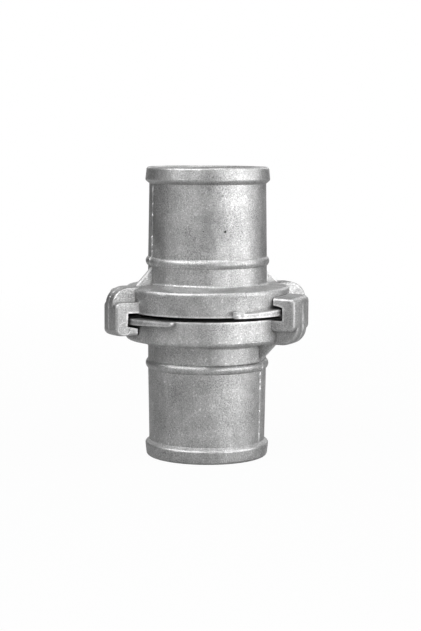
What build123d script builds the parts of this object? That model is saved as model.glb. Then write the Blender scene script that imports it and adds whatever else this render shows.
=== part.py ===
"""Quarter turn fire hose coupling, 65 mm size: two like cast halves, each with its gasket.

Millimetres. Z is the axis of the waterway and Z = 0 is the joint plane, where the gaskets meet.
A half is drawn as the upper one, joint face down and tail up, with its claws along X. The lower
half is the same casting turned over about Y. Hooks of each half reach over the joint plane and
pull on ledges of the other half, which thicken like a slow thread.
"""
import os
from math import cos, radians, sin

from build123d import *

# Hose tail: a pipe end that a hose is bound on, between the end rim and the bead
half_length = 78.5
bore_r = 28.5
tail_neck_r = 32.2
tail_rim_r = 31.55
rim_r = 33.75
rim_length = 7.1
rim_back = 1.9
rim_draft = 0.8
rim_corner = 1.5
bead_r = 33.5
bead_z = 27.9
bead_half = 2.5
mouth_chamfer = 0.8

# Ring that carries claws, ledges and gasket
face_gap = 1.15
ring_r = 44.5
ring_draft = 0.6
ring_edge_z = 14.2
ring_rise = 1.5
ring_edge_round = 2.0
neck_round = 1.6

# Gasket seat, open to the bore, with a lip that holds the gasket in
seat_r = 38.5
seat_depth = 8.0
seat_lip = 1.6
seat_lip_width = 2.2

# Ledges, which run clockwise from each claw, seen from above
ledge_width = 4.5
ledge_end_angle = 95.0
ledge_lock_z = 4.9
ledge_rise = 0.0435
ledge_nose = 2.0
ledge_edge_round = 0.6

# Claws: a hook over the joint and a narrower shoulder that backs it
claw_turn = 24.5
lock_angle = 49.0
claw_wall = 6.5
hook_half = 10.0
hook_top_z = 7.5
hook_reach = 10.75
hook_corner = 3.2
hook_edge_round = 1.6
shoulder_half = 6.3
shoulder_z = 15.15
shoulder_round = 9.5
shoulder_edge_round = 1.5
shoulder_pad = 4.0
slot_floor_z = 1.7
pull_slope = 0.2

# Gussets, from under the bead down to the ring
gusset_thick = 1.8
gusset_r = 42.5

# Ejector marks, shallow discs in one end face of each of the upper half's claws
ejector_r = 3.3
ejector_p = 51.0
ejector_z = -6.6
ejector_depth = 0.5

# How far a form is sunk into the one it is fused with
sink = 1.0

# Clearances
tip_clear = 0.4
slot_clear = 1.2
pull_clear = 0.38
gasket_clear = 0.15

# Gasket section
gasket_width = 9.1
crown_width = 3.4
crown_side = 1.2
lip_groove_depth = 3.2
lip_groove_top = 2.6
lip_groove_base = 6.2

# Places worked out from the sizes above
seat_floor_z = face_gap + seat_depth
lip_z = face_gap + seat_lip_width
seat_mouth_r = seat_r - seat_lip
gasket_inner_r = seat_r - gasket_width
ring_face_r = ring_r - ring_draft
rim_z = half_length - rim_length
ring_top_z = ring_edge_z + ring_rise
gusset_top_z = bead_z - bead_half
root_r = ring_face_r - 3 * sink
pad_r = root_r - shoulder_pad
tip_r = ring_r + tip_clear
ledge_r = ring_r + ledge_width
slot_r = ledge_r + slot_clear
claw_r = slot_r + claw_wall
pull_z = ledge_lock_z + ledge_rise * hook_half + pull_clear


def at_height(sketch, height):
    """Corners of a side view that lie at one height."""
    return sketch.vertices().filter_by_position(Axis.Y, height - 0.01, height + 0.01)


# Outside of pipe and ring, turned in one section
with BuildPart() as body:
    with BuildSketch(Plane.XZ) as outline:
        with BuildLine():
            Polyline(
                (tail_neck_r, bead_z - bead_half),
                (tail_neck_r, ring_top_z),
                (ring_r, ring_edge_z),
                (ring_face_r, face_gap),
                (0, face_gap),
                (0, half_length),
                (rim_r - rim_draft, half_length),
                (rim_r, rim_z),
                (tail_rim_r, rim_z - rim_back),
                (tail_neck_r, bead_z + bead_half),
            )
            ThreePointArc(
                (tail_neck_r, bead_z - bead_half),
                (bead_r, bead_z),
                (tail_neck_r, bead_z + bead_half),
            )
        make_face()
        fillet(at_height(outline, half_length).sort_by(Axis.X)[-1], radius=rim_corner)
        fillet(at_height(outline, rim_z), radius=rim_corner)
        fillet(at_height(outline, ring_edge_z), radius=ring_edge_round)
        fillet(at_height(outline, ring_top_z), radius=neck_round)
    revolve(axis=Axis.Z)

# Hollow: waterway, gasket seat and the chamfer at the tail's mouth
with BuildPart() as hollow:
    with BuildSketch(Plane.XZ):
        with BuildLine():
            Polyline(
                (0, face_gap),
                (seat_mouth_r, face_gap),
                (seat_mouth_r, lip_z),
                (seat_r, lip_z),
                (seat_r, seat_floor_z),
                (bore_r, seat_floor_z),
                (bore_r, half_length - mouth_chamfer),
                (bore_r + mouth_chamfer, half_length),
                (0, half_length),
                close=True,
            )
        make_face()
    revolve(axis=Axis.Z)

# Hook: a turned form, cut to parallel end faces and to a top that slopes as the ledges do
hook_top = Plane(origin=(0, 0, -hook_reach), x_dir=(1, 0, 0), z_dir=(0, -ledge_rise, 1))
with BuildPart() as hook:
    with BuildSketch(Plane.XZ) as hook_side:
        with BuildLine():
            Polyline(
                (root_r, hook_top_z),
                (claw_r, hook_top_z),
                (claw_r, -hook_reach - sink),
                (tip_r, -hook_reach - sink),
                (tip_r, -pull_z - (ledge_r - tip_r) * pull_slope),
                (slot_r, -pull_z + slot_clear * pull_slope),
                (slot_r, slot_floor_z),
                (root_r, slot_floor_z),
                close=True,
            )
        make_face()
        fillet(at_height(hook_side, hook_top_z).sort_by(Axis.X)[-1], radius=hook_corner)
    revolve(axis=Axis.Z)
    with BuildSketch(Plane.XY) as hook_plan:
        with Locations((claw_r, 0)):
            Rectangle(2 * (claw_r - root_r + sink), 2 * hook_half)
    extrude(amount=2 * hook_reach, both=True, mode=Mode.INTERSECT)
    split(bisect_by=hook_top, keep=Keep.TOP)
    fillet(hook.faces().sort_by(Axis.Z)[0].edges().sort_by(Axis.X)[-1], radius=hook_corner)
    hook_ends = hook.faces().filter_by(Axis.Y)
    hook_rims = hook_ends.edges().filter_by_position(Axis.X, slot_r, claw_r)
    hook_rims += hook.faces().sort_by(Axis.Z)[0].edges().filter_by(Axis.X)
    fillet(hook_rims, radius=hook_edge_round)

# Shoulder: the same kind of form, narrower, with a large outer rounding
with BuildPart() as shoulder:
    with BuildSketch(Plane.XZ) as shoulder_side:
        with BuildLine():
            Polyline(
                (pad_r, slot_floor_z + sink),
                (pad_r, ring_edge_z),
                (root_r + sink, shoulder_z),
                (claw_r, shoulder_z),
                (claw_r, slot_floor_z + sink),
                close=True,
            )
        make_face()
        fillet(at_height(shoulder_side, shoulder_z).sort_by(Axis.X)[-1], radius=shoulder_round)
    revolve(axis=Axis.Z)
    with BuildSketch(Plane.XY) as shoulder_plan:
        with Locations((claw_r, 0)):
            Rectangle(2 * (claw_r - pad_r + sink), 2 * shoulder_half)
    extrude(amount=2 * shoulder_z, both=True, mode=Mode.INTERSECT)
    shoulder_ends = shoulder.faces().filter_by(Axis.Y)
    shoulder_rims = shoulder_ends.edges().filter_by_position(Axis.Z, hook_top_z, shoulder_z)
    shoulder_rims = shoulder_rims.filter_by_position(Axis.X, pad_r, claw_r)
    fillet(shoulder_rims, radius=shoulder_edge_round)

# Ledge: an arc that thickens toward its claw, cut off by one tilted plane
ledge_mid_angle = -ledge_end_angle / 2
ledge_mid = Vector(cos(radians(ledge_mid_angle)), sin(radians(ledge_mid_angle)), 0)
ledge_along = Vector(-ledge_mid.Y, ledge_mid.X, 0)
lock_offset = ledge_r * sin(radians(-lock_angle - ledge_mid_angle))
ramp = Plane(
    origin=(0, 0, ledge_lock_z - ledge_rise * lock_offset),
    x_dir=ledge_mid,
    z_dir=Vector(0, 0, 1) - ledge_along * ledge_rise,
)
with BuildPart() as ledge:
    with BuildSketch(Plane.XZ.rotated((0, 0, -ledge_end_angle))):
        with Locations(((root_r + ledge_r) / 2, face_gap)):
            Rectangle(ledge_r - root_r, hook_reach, align=(Align.CENTER, Align.MIN))
    revolve(axis=Axis.Z, revolution_arc=ledge_end_angle)
    split(bisect_by=ramp, keep=Keep.BOTTOM)
    split(bisect_by=Plane.XZ.offset(hook_half), keep=Keep.TOP)
    free_end = ledge.faces().sort_by(Axis.X)[0]
    nose_edges = free_end.edges().filter_by(Axis.Z).sort_by(Axis.Y)[0:1]
    nose_edges += free_end.edges().sort_by(Axis.Z)[-1:]
    fillet(nose_edges, radius=ledge_nose)
    outer_wall = ledge.faces().filter_by(GeomType.CYLINDER).sort_by(Axis.Y)[0]
    fillet(outer_wall.edges().sort_by(Axis.Z)[-1], radius=ledge_edge_round)

# Gusset: a thin rib in the plane of the claws
with BuildPart() as gusset:
    with BuildSketch(Plane.XZ):
        with BuildLine():
            Polyline(
                (tail_neck_r - sink, gusset_top_z),
                (tail_neck_r, gusset_top_z),
                (gusset_r, ring_edge_z),
                (gusset_r, ring_edge_z - sink),
                (tail_neck_r - sink, ring_edge_z - sink),
                close=True,
            )
        make_face()
    extrude(amount=gusset_thick / 2, both=True)

# One half: body, with a claw, a ledge and a gusset on each side
with BuildPart() as half:
    add(body.part)
    with PolarLocations(0, 2):
        add(shoulder.part)
        add(hook.part)
        add(ledge.part)
        add(gusset.part)
    add(hollow.part, mode=Mode.SUBTRACT)

# Gasket: back on the seat's floor, rim under the seat's lip, crown on the joint plane
with BuildPart() as gasket:
    with BuildSketch(Plane.XZ) as gasket_section:
        with BuildLine():
            Polyline(
                (gasket_inner_r, seat_floor_z),
                (seat_r - gasket_clear, seat_floor_z),
                (seat_r - gasket_clear, lip_z + gasket_clear),
                (seat_mouth_r - gasket_clear, lip_z + gasket_clear),
                (seat_mouth_r - gasket_clear, face_gap),
                (seat_mouth_r - crown_side, 0),
                (seat_mouth_r - crown_side - crown_width, 0),
                (gasket_inner_r, crown_side),
                (gasket_inner_r, lip_groove_top),
                (gasket_inner_r + lip_groove_depth, (lip_groove_top + lip_groove_base) / 2),
                (gasket_inner_r, lip_groove_base),
                close=True,
            )
        make_face()
    revolve(axis=Axis.Z)

# Ejector pin: what presses its mark into a claw's end face
with BuildPart() as ejector_pin:
    with BuildSketch(Plane.XZ.offset(-hook_half)):
        with Locations((ejector_p, ejector_z)):
            Circle(ejector_r)
    extrude(amount=ejector_depth)

# Both castings and gaskets in place: the lower half is the upper one turned over about Y
with BuildPart() as upper_casting:
    add(half.part, rotation=(0, 0, claw_turn))
    with PolarLocations(0, 2, start_angle=claw_turn):
        add(ejector_pin.part, mode=Mode.SUBTRACT)

with BuildPart() as lower_casting:
    add(half.part, rotation=(0, 180, claw_turn))

with BuildPart() as upper_gasket:
    add(gasket.part)

with BuildPart() as lower_gasket:
    add(gasket.part, rotation=(0, 180, 0))

os.makedirs("parts", exist_ok=True)

upper_casting.part.label = "upper_casting"
export_step(upper_casting.part, "parts/upper_casting.step")

lower_casting.part.label = "lower_casting"
export_step(lower_casting.part, "parts/lower_casting.step")

upper_gasket.part.label = "upper_gasket"
export_step(upper_gasket.part, "parts/upper_gasket.step")

lower_gasket.part.label = "lower_gasket"
export_step(lower_gasket.part, "parts/lower_gasket.step")
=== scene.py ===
"""Looks of a quarter turn fire hose coupling: two cast aluminium halves, locked on rubber gaskets."""

import math

import bpy
from mathutils import Matrix, Vector


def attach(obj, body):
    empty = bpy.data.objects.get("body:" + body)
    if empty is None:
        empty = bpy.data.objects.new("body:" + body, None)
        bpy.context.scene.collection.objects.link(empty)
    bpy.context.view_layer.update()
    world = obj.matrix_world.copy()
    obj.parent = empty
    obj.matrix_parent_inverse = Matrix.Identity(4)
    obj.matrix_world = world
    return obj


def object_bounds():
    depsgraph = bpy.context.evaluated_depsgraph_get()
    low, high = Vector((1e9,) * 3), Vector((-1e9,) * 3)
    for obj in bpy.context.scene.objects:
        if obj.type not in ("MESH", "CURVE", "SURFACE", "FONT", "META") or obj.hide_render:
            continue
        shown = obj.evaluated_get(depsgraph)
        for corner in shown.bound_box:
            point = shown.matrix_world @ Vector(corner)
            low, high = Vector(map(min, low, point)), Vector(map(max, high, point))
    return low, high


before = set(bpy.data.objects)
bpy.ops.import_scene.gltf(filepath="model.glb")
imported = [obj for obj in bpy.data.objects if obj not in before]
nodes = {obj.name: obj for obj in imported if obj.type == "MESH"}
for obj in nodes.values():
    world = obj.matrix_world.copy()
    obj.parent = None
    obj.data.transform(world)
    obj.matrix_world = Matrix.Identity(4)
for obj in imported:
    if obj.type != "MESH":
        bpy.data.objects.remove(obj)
cad_low, cad_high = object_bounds()
scene = bpy.context.scene

# --- Camera -------------------------------------------------------------------------------------
# A long lens a little above the joint, almost square on to the front, with the frame upright.
view_azimuth = math.radians(2.15)
view_elevation = math.radians(6.5)
view_distance = 0.866
view_roll = math.radians(0.25)
aim_right = 0.00177
aim_down = 0.0023

away = Vector((
    math.sin(view_azimuth) * math.cos(view_elevation),
    -math.cos(view_azimuth) * math.cos(view_elevation),
    math.sin(view_elevation),
))
right = Vector((math.cos(view_azimuth), math.sin(view_azimuth), 0))
up = away.cross(right)
aim = right * aim_right - up * aim_down
bpy.ops.object.camera_add(location=aim + away * view_distance)
camera = bpy.context.object
camera.rotation_euler = (
    Matrix.Rotation(view_roll, 3, away) @ Matrix((right, up, away)).transposed()
).to_euler()
camera.data.lens = 90.7
camera.data.sensor_width = 36
camera.data.clip_start = 0.01
scene.camera = camera
scene.view_settings.view_transform = "Standard"

# --- Castings -----------------------------------------------------------------------------------
# Two like halves of cast aluminium, tumbled to take the sharpness off and left bare. Each has its
# claws, ledges, gasket seat and hose tail in one piece. Their shapes are the frame's own.
mm = 0.001


def linear(code):
    """Linear red, green, blue and alpha of an sRGB hex colour."""
    parts = [int(code[i:i + 2], 16) / 255 for i in (1, 3, 5)]
    return [c / 12.92 if c <= 0.04045 else ((c + 0.055) / 1.055) ** 2.4 for c in parts] + [1]


def node(tree, kind, sockets, **settings):
    """One more node in a tree: its settings, and for each socket a value or the socket it reads."""
    made = tree.nodes.new(kind)
    for name, value in settings.items():
        setattr(made, name, value)
    for name, value in sockets.items():
        if isinstance(value, bpy.types.NodeSocket):
            tree.links.new(value, made.inputs[name])
        else:
            made.inputs[name].default_value = value
    return made


# Tumbled cast aluminium is a metal all over, so its colour is in its reflection. The eye sees a
# satin grey with a fine speckle, brighter flecks where high spots are rubbed, pale clouds and dull
# streaks from the melt's flow, worn corners, and crevices darkened by painted shade with a little
# grime. The real grain is finer than 0.6 mm and is drawn that coarse so that it shows.
grain = 0.6 * mm
grain_depth = 0.12 * mm
fleck = 1.0 * mm
cloud = 14 * mm
cloud_depth = 1.0 * mm
streak = 13 * mm
crevice = 3 * mm
worn_corner = 1.4 * mm
worn_patch = 3 * mm
cast_aluminium = bpy.data.materials.new("tumbled_cast_aluminium")
cast_aluminium.use_nodes = True
tree = cast_aluminium.node_tree
shader = tree.nodes["Principled BSDF"]
place = node(tree, "ShaderNodeTexCoord", {}).outputs["Object"]

# Fine speckle from the mould's grain. A Mix node's colours are its sockets 6 and 7, and output 2
grains = node(tree, "ShaderNodeTexNoise", {
    "Vector": place, "Scale": 1 / grain, "Detail": 3, "Roughness": 0.6,
}).outputs["Fac"]
grain_tone = node(tree, "ShaderNodeMapRange", {
    "Value": grains, "From Min": 0.32, "From Max": 0.70,
}).outputs[0]
skin = node(tree, "ShaderNodeMix", {
    0: grain_tone, 6: linear("#787878"), 7: linear("#DADADA"),
}, data_type="RGBA").outputs[2]

# Pale clouds where the melt flowed
clouds = node(tree, "ShaderNodeTexNoise", {
    "Vector": place, "Scale": 1 / cloud, "Detail": 4, "Roughness": 0.6, "Distortion": 0.4,
}).outputs["Fac"]
cloud_tone = node(tree, "ShaderNodeMapRange", {
    "Value": clouds, "From Min": 0.36, "From Max": 0.64, "To Max": 0.45,
}).outputs[0]
skin = node(tree, "ShaderNodeMix", {
    0: cloud_tone, 6: skin, 7: linear("#CECECE"),
}, data_type="RGBA").outputs[2]

# Bright flecks on rubbed high spots, closer together in the clouds
flecks = node(tree, "ShaderNodeTexNoise", {
    "Vector": place, "Scale": 1 / fleck, "Detail": 4, "Roughness": 0.75,
}).outputs["Fac"]
gathered = node(tree, "ShaderNodeMath", {
    0: clouds, 1: 0.3, 2: flecks,
}, operation="MULTIPLY_ADD").outputs[0]
fleck_tone = node(tree, "ShaderNodeMapRange", {
    "Value": gathered, "From Min": 0.74, "From Max": 0.83, "To Max": 0.9,
}).outputs[0]
skin = node(tree, "ShaderNodeMix", {
    0: fleck_tone, 6: skin, 7: linear("#F4F4F4"),
}, data_type="RGBA").outputs[2]

# Streaks left dull where the melt cooled first, longer than they are wide
stretched = node(tree, "ShaderNodeMapping", {
    "Vector": place, "Scale": (1, 1, 0.45), "Rotation": (0.35, 0.2, 0),
}).outputs[0]
streaks = node(tree, "ShaderNodeTexNoise", {
    "Vector": stretched, "Scale": 1 / streak, "Detail": 5, "Roughness": 0.65,
}).outputs["Fac"]
streak_tone = node(tree, "ShaderNodeMapRange", {
    "Value": streaks, "From Min": 0.46, "From Max": 0.66, "To Max": 0.4,
}).outputs[0]
skin = node(tree, "ShaderNodeMix", {
    0: streak_tone, 6: skin, 7: linear("#7A7A7A"),
}, data_type="RGBA").outputs[2]

# Painted shade in the crevices, with a little grime: the colour darkens where nearby surfaces close
# in, as the shade that falls there
openness = node(tree, "ShaderNodeAmbientOcclusion", {
    "Distance": crevice,
}, samples=6).outputs["AO"]
crevice_shade_and_grime = node(tree, "ShaderNodeMapRange", {
    "Value": openness, "From Min": 0.25, "From Max": 0.85, "To Min": 0.5, "To Max": 0.0,
}).outputs[0]
skin = node(tree, "ShaderNodeMix", {
    0: crevice_shade_and_grime, 6: skin, 7: linear("#6E6E6C"),
}, data_type="RGBA").outputs[2]

# Corners rubbed bright, in patches: a corner has little metal behind it
thickness = node(tree, "ShaderNodeAmbientOcclusion", {
    "Distance": worn_corner,
}, samples=8, inside=True).outputs["AO"]
corners = node(tree, "ShaderNodeMapRange", {
    "Value": thickness, "From Min": 0.95, "From Max": 0.76,
}).outputs[0]
patches = node(tree, "ShaderNodeTexNoise", {
    "Vector": place, "Scale": 1 / worn_patch, "Detail": 5, "Roughness": 0.7,
}).outputs["Fac"]
patch_tone = node(tree, "ShaderNodeMapRange", {
    "Value": patches, "From Min": 0.38, "From Max": 0.60, "To Min": 0.3, "To Max": 1.0,
}).outputs[0]
wear = node(tree, "ShaderNodeMath", {
    0: corners, 1: patch_tone,
}, operation="MULTIPLY").outputs[0]
skin = node(tree, "ShaderNodeMix", {
    0: wear, 6: skin, 7: linear("#EAEAEA"),
}, data_type="RGBA").outputs[2]

# Blowholes, where gas left a pit with a frayed rim in the tail's skin. No hollow is cut: each pit is
# painted dark, as painted shade for the hollow. Each has its bearing from the front in degrees, its
# height and its radius
blowholes = (
    (19.0, 45.2 * mm, 0.85 * mm),
    (36.4, 45.0 * mm, 0.35 * mm),
    (36.7, 44.2 * mm, 0.30 * mm),
    (17.3, 55.5 * mm, 0.35 * mm),
    (-2.0, 45.5 * mm, 0.35 * mm),
    (-44.0, 54.0 * mm, 0.50 * mm),
)
fray = 0.3 * mm
tail_radius = 32.0 * mm
frayed = node(tree, "ShaderNodeMapRange", {
    "Value": flecks, "From Min": 0.3, "From Max": 0.7, "To Min": -fray, "To Max": fray,
}).outputs[0]
pit_shade = 0.0
for bearing, height, radius in blowholes:
    turn = math.radians(bearing)
    centre = Vector((math.sin(turn) * tail_radius, -math.cos(turn) * tail_radius, height))
    reach = node(tree, "ShaderNodeVectorMath", {
        0: place, 1: centre,
    }, operation="DISTANCE").outputs["Value"]
    reach = node(tree, "ShaderNodeMath", {0: reach, 1: frayed}, operation="ADD").outputs[0]
    pit = node(tree, "ShaderNodeMapRange", {
        "Value": reach, "From Min": radius, "From Max": 0.5 * radius,
    }).outputs[0]
    pit_shade = node(tree, "ShaderNodeMath", {0: pit, 1: pit_shade}, operation="MAXIMUM").outputs[0]
# The pits painted dark: painted shade standing in for the hollow inside each
skin = node(tree, "ShaderNodeMix", {
    0: pit_shade, 6: skin, 7: linear("#303030"),
}, data_type="RGBA").outputs[2]

# Satin polish, smoother on the flecks, over the grain and a slight swell
polish = node(tree, "ShaderNodeMapRange", {
    "Value": flecks, "From Min": 0.35, "From Max": 0.70, "To Min": 0.54, "To Max": 0.38,
}).outputs[0]
relief = node(tree, "ShaderNodeBump", {
    "Height": grains, "Strength": 0.6, "Distance": grain_depth,
}).outputs[0]
swell = node(tree, "ShaderNodeBump", {
    "Height": clouds, "Normal": relief, "Strength": 0.35, "Distance": cloud_depth,
}).outputs[0]
shader.inputs["Metallic"].default_value = 1
tree.links.new(skin, shader.inputs["Base Color"])
tree.links.new(polish, shader.inputs["Roughness"])
tree.links.new(swell, shader.inputs["Normal"])

for name in ("upper_casting", "lower_casting"):
    nodes[name].data.materials.clear()
    nodes[name].data.materials.append(cast_aluminium)

# --- Mould seams --------------------------------------------------------------------------------
# Thin broken ridges of aluminium that ran between the two parts of the mould, and are left
# unfiled. In the plane of the claws, one runs up each side of a tail and one down each claw's back.
claw_turn = 24.5
seam_radius = 0.5 * mm
seam_step = 0.7 * mm
# Each path is a list of points, a radius and a height in mm, from the top down
tail_path = ((31.2, 69.2), (31.85, 31.0), (33.2, 29.5), (33.2, 26.5), (32.0, 25.6))
claw_path = ((50.6, 14.2), (53.1, 12.7), (55.4, 10.0), (56.2, 7.4), (56.35, 4.0), (56.35, -7.0))
seam_raggedness = 2.2 * mm
ragged_size = 2.2 * mm
ragged_metal = bpy.data.textures.new("ragged_metal", "CLOUDS")
ragged_metal.noise_scale = ragged_size


def finish_as_cast(piece, depth, level):
    """Give the active piece a ragged skin and bare metal. A pattern tone of level moves nothing."""
    ragged = piece.modifiers.new("ragged", "DISPLACE")
    ragged.texture = ragged_metal
    ragged.strength = depth
    ragged.mid_level = level
    bpy.ops.object.modifier_apply(modifier=ragged.name)
    # Sorted by distance from the joint's centre, so that each run gives the same mesh
    bpy.ops.object.mode_set(mode="EDIT")
    bpy.ops.mesh.select_all(action="SELECT")
    bpy.ops.mesh.sort_elements(type="CURSOR_DISTANCE", elements={"VERT", "EDGE", "FACE"})
    bpy.ops.object.mode_set(mode="OBJECT")
    bpy.ops.object.shade_smooth()
    piece.data.materials.append(cast_aluminium)


def turned_copy(piece, name, degrees):
    """A copy of a piece with its own mesh, turned about the coupling's axis."""
    bpy.ops.object.select_all(action="DESELECT")
    piece.select_set(True)
    bpy.context.view_layer.objects.active = piece
    bpy.ops.object.duplicate()
    copy = bpy.context.object
    copy.name = name
    copy.rotation_euler.z = math.radians(degrees)
    bpy.ops.object.transform_apply(rotation=True)
    return copy


def seam(name, path):
    """A ridge along a path, in the plane of X and Z."""
    top_radius, top_height = path[0]
    bpy.ops.object.select_all(action="DESELECT")
    bpy.ops.mesh.primitive_circle_add(
        vertices=6,
        radius=seam_radius,
        fill_type="NGON",
        location=(top_radius * mm, 0, top_height * mm),
    )
    ridge = bpy.context.object
    ridge.name = name
    bpy.ops.object.mode_set(mode="EDIT")
    bpy.ops.mesh.select_all(action="SELECT")
    for (radius, height), (next_radius, next_height) in zip(path, path[1:]):
        run = Vector((next_radius - radius, 0, next_height - height)) * mm
        steps = round(run.length / seam_step)
        for _ in range(steps):
            bpy.ops.mesh.extrude_region_move(TRANSFORM_OT_translate={"value": run / steps})
    bpy.ops.mesh.select_all(action="SELECT")
    bpy.ops.mesh.normals_make_consistent(inside=False)
    bpy.ops.object.mode_set(mode="OBJECT")
    bpy.ops.object.transform_apply(location=True)
    finish_as_cast(ridge, depth=seam_raggedness, level=0.56)
    return ridge


# Each seam of the upper half is copied half a turn on, and turned over for the lower half
seams = [seam("tail_seam", tail_path), seam("claw_seam", claw_path)]
for turn, upper_side, lower_side in ((0, "right", "left"), (180, "left", "right")):
    for ridge in seams:
        for half, side in (("upper", upper_side), ("lower", lower_side)):
            copy = turned_copy(ridge, f"{half}_{ridge.name}_{side}", claw_turn + turn)
            if half == "lower":
                copy.rotation_euler.y = math.pi
                bpy.ops.object.transform_apply(rotation=True)
            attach(copy, f"{half}_half")
for ridge in seams:
    bpy.data.objects.remove(ridge)

# --- Ejector burrs ------------------------------------------------------------------------------
# Crescents of aluminium raised at the rim of the two ejector marks, where the mould's pins pushed
# the upper half out. They are part of the casting, and are bright because they stand proud.
ejector_place = Vector((51.0, 10.1, -6.6)) * mm
ejector_radius = 3.3 * mm
burr_radius = 0.4 * mm
burr_arc = math.radians(62)
burr_raggedness = 0.5 * mm
bpy.ops.object.select_all(action="DESELECT")
bpy.ops.mesh.primitive_circle_add(
    vertices=8,
    radius=burr_radius,
    fill_type="NGON",
    location=ejector_place - Vector((ejector_radius, 0, 0)),
)
burr = bpy.context.object
bpy.ops.object.mode_set(mode="EDIT")
bpy.ops.mesh.select_all(action="SELECT")
bpy.ops.mesh.spin(steps=16, angle=burr_arc, center=ejector_place, axis=(0, 1, 0))
bpy.ops.mesh.select_all(action="SELECT")
bpy.ops.mesh.normals_make_consistent(inside=False)
bpy.ops.object.mode_set(mode="OBJECT")
bpy.ops.object.transform_apply(location=True)
finish_as_cast(burr, depth=burr_raggedness, level=0.5)
for turn, side in ((0, "right"), (180, "left")):
    copy = turned_copy(burr, f"upper_ejector_burr_{side}", claw_turn + turn)
    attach(copy, "upper_half")
bpy.data.objects.remove(burr)

# --- Flash on the upper ledge -------------------------------------------------------------------
# A low pad of aluminium at the free end of the upper half's front ledge, where metal squeezed
# past the mould and was left. It is part of the casting, and stands just proud of the ledge.
flash_place = (18.1 * mm, -44.3 * mm, 3.3 * mm)
flash_turn = math.radians(7)
flash_size = (6.2 * mm, 1.8 * mm, 2.9 * mm)
flash_round = 0.45 * mm
flash_raggedness = 0.4 * mm
bpy.ops.object.select_all(action="DESELECT")
bpy.ops.mesh.primitive_cube_add(
    size=1, location=flash_place, rotation=(0, 0, flash_turn), scale=flash_size,
)
flash = bpy.context.object
flash.name = "upper_ledge_flash"
bpy.ops.object.transform_apply(location=True, rotation=True, scale=True)
bpy.ops.object.mode_set(mode="EDIT")
bpy.ops.mesh.select_all(action="SELECT")
bpy.ops.mesh.bevel(offset=flash_round, segments=3, affect="EDGES")
bpy.ops.mesh.select_all(action="SELECT")
bpy.ops.mesh.subdivide(number_cuts=3)
bpy.ops.object.mode_set(mode="OBJECT")
finish_as_cast(flash, depth=flash_raggedness, level=0.7)
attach(flash, "upper_half")

# --- Gaskets ------------------------------------------------------------------------------------
# Moulded nitrile rubber rings, pressed into their seats: near black and matt, with the dull
# bloom of 5 mm patches that moulded rubber has.
bloom_patch = 5 * mm
seal_rubber = bpy.data.materials.new("moulded_nitrile_rubber")
seal_rubber.use_nodes = True
tree = seal_rubber.node_tree
shader = tree.nodes["Principled BSDF"]
place = node(tree, "ShaderNodeTexCoord", {}).outputs["Object"]
bloom = node(tree, "ShaderNodeTexNoise", {
    "Vector": place, "Scale": 1 / bloom_patch, "Detail": 4,
}).outputs["Fac"]
bloom_tone = node(tree, "ShaderNodeMapRange", {
    "Value": bloom, "From Min": 0.35, "From Max": 0.7,
}).outputs[0]
rubber = node(tree, "ShaderNodeMix", {
    0: bloom_tone, 6: linear("#0E0E0E"), 7: linear("#1C1C1C"),
}, data_type="RGBA").outputs[2]
tree.links.new(rubber, shader.inputs["Base Color"])
shader.inputs["Roughness"].default_value = 0.65
for name in ("upper_gasket", "lower_gasket"):
    nodes[name].data.materials.clear()
    nodes[name].data.materials.append(seal_rubber)

# --- Floor --------------------------------------------------------------------------------------
# White paper. To the lens it glows a little more the farther it lies from the coupling, so that
# it runs into the white behind without a line. The metal sees it grey, as in the room's shade.
floor_radius = 8
glow_start = 0.1
glow_full = 0.9
bpy.ops.object.select_all(action="DESELECT")
bpy.ops.mesh.primitive_circle_add(
    vertices=96, radius=floor_radius, fill_type="NGON", location=(0, 0, cad_low.z),
)
floor = bpy.context.object
floor.name = "paper_floor"
paper = bpy.data.materials.new("white_paper")
paper.use_nodes = True
tree = paper.node_tree
shader = tree.nodes["Principled BSDF"]
shader.inputs["Base Color"].default_value = linear("#A4A4A4")
shader.inputs["Roughness"].default_value = 1
rays = node(tree, "ShaderNodeLightPath", {})
seen = node(tree, "ShaderNodeMath", {
    0: rays.outputs["Is Camera Ray"], 1: rays.outputs["Is Transmission Ray"],
}, operation="MAXIMUM").outputs[0]
mirrored = node(tree, "ShaderNodeMath", {
    0: rays.outputs["Is Glossy Ray"], 1: 0.06,
}, operation="MULTIPLY").outputs[0]
seen = node(tree, "ShaderNodeMath", {0: seen, 1: mirrored}, operation="MAXIMUM").outputs[0]
place = node(tree, "ShaderNodeTexCoord", {}).outputs["Object"]
distance = node(tree, "ShaderNodeVectorMath", {0: place}, operation="LENGTH").outputs["Value"]
fade = node(tree, "ShaderNodeMapRange", {
    "Value": distance, "From Min": glow_start, "From Max": glow_full, "To Min": 0.97, "To Max": 1.0,
}).outputs[0]
weight = node(tree, "ShaderNodeMath", {0: seen, 1: fade}, operation="MULTIPLY").outputs[0]
glow = node(tree, "ShaderNodeEmission", {"Strength": 1}).outputs[0]
lit_paper = node(tree, "ShaderNodeMixShader", {
    0: weight, 1: shader.outputs[0], 2: glow,
}).outputs[0]
tree.links.new(lit_paper, tree.nodes["Material Output"].inputs["Surface"])
floor.data.materials.append(paper)

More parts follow.
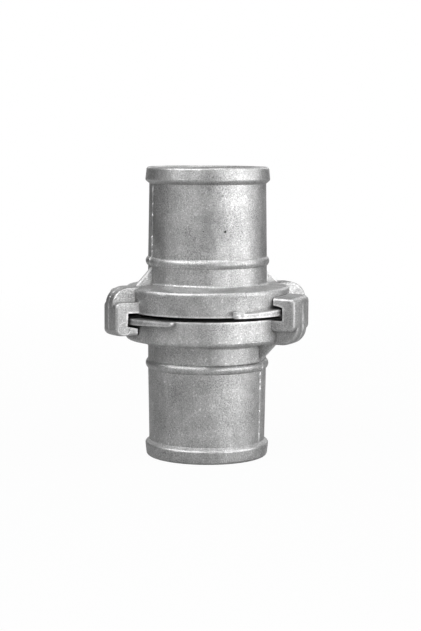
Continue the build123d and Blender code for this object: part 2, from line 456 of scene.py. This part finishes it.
# --- Studio -------------------------------------------------------------------------------------
# A dim room with a white sheet behind, and nine softboxes: a low wide one at the right, weak ones
# at the far right and the left, one high at each side, two overhead, and two at the back.
room_level = 0.05
lamp_distance = 1.2
world = bpy.data.worlds.new("studio")
scene.world = world
world.use_nodes = True
tree = world.node_tree
rays = node(tree, "ShaderNodeLightPath", {})
mirrored = node(tree, "ShaderNodeMath", {
    0: rays.outputs["Is Glossy Ray"], 1: rays.outputs["Is Transmission Ray"],
}, operation="MAXIMUM").outputs[0]
direction = node(tree, "ShaderNodeTexCoord", {}).outputs["Generated"]
ahead = node(tree, "ShaderNodeSeparateXYZ", {0: direction}).outputs["Y"]
sheet = node(tree, "ShaderNodeMapRange", {
    "Value": ahead, "From Min": 0.86, "From Max": 0.96,
}).outputs[0]
behind = node(tree, "ShaderNodeMath", {0: mirrored, 1: sheet}, operation="MULTIPLY").outputs[0]
white = node(tree, "ShaderNodeMath", {
    0: rays.outputs["Is Camera Ray"], 1: behind,
}, operation="MAXIMUM").outputs[0]
level = node(tree, "ShaderNodeMapRange", {
    "Value": white, "To Min": room_level, "To Max": 1.0,
}).outputs[0]
background = tree.nodes["Background"]
background.inputs["Color"].default_value = (1, 1, 1, 1)
tree.links.new(level, background.inputs["Strength"])


def softbox(name, azimuth, elevation, width, height, power):
    """A soft lamp that faces the joint, from an azimuth in degrees to the right of the front."""
    turn, rise = math.radians(azimuth), math.radians(elevation)
    place = Vector((
        math.sin(turn) * math.cos(rise),
        -math.cos(turn) * math.cos(rise),
        math.sin(rise),
    )) * lamp_distance
    bpy.ops.object.light_add(type="AREA", location=place)
    lamp = bpy.context.object
    lamp.name = name
    lamp.data.shape = "RECTANGLE"
    lamp.data.size = width
    lamp.data.size_y = height
    lamp.data.energy = power
    lamp.rotation_euler = place.to_track_quat("Z", "Y").to_euler()


softbox("right_softbox", 57, 7, width=1.8, height=0.4, power=9.6)
softbox("far_right_softbox", 112, 12, width=0.6, height=0.8, power=0.8)
softbox("high_right_softbox", 85, 42, width=0.6, height=0.6, power=4.4)
softbox("top_right_softbox", 45, 68, width=0.6, height=0.6, power=4.6)
softbox("left_softbox", -40, 12, width=1.4, height=0.8, power=1.6)
softbox("high_left_softbox", -46, 42, width=1.5, height=0.6, power=13)
softbox("top_left_softbox", -45, 68, width=0.6, height=0.6, power=0.9)
softbox("back_right_softbox", 150, 30, width=0.6, height=0.6, power=1.9)
softbox("back_left_softbox", -150, 30, width=0.6, height=0.6, power=1.1)
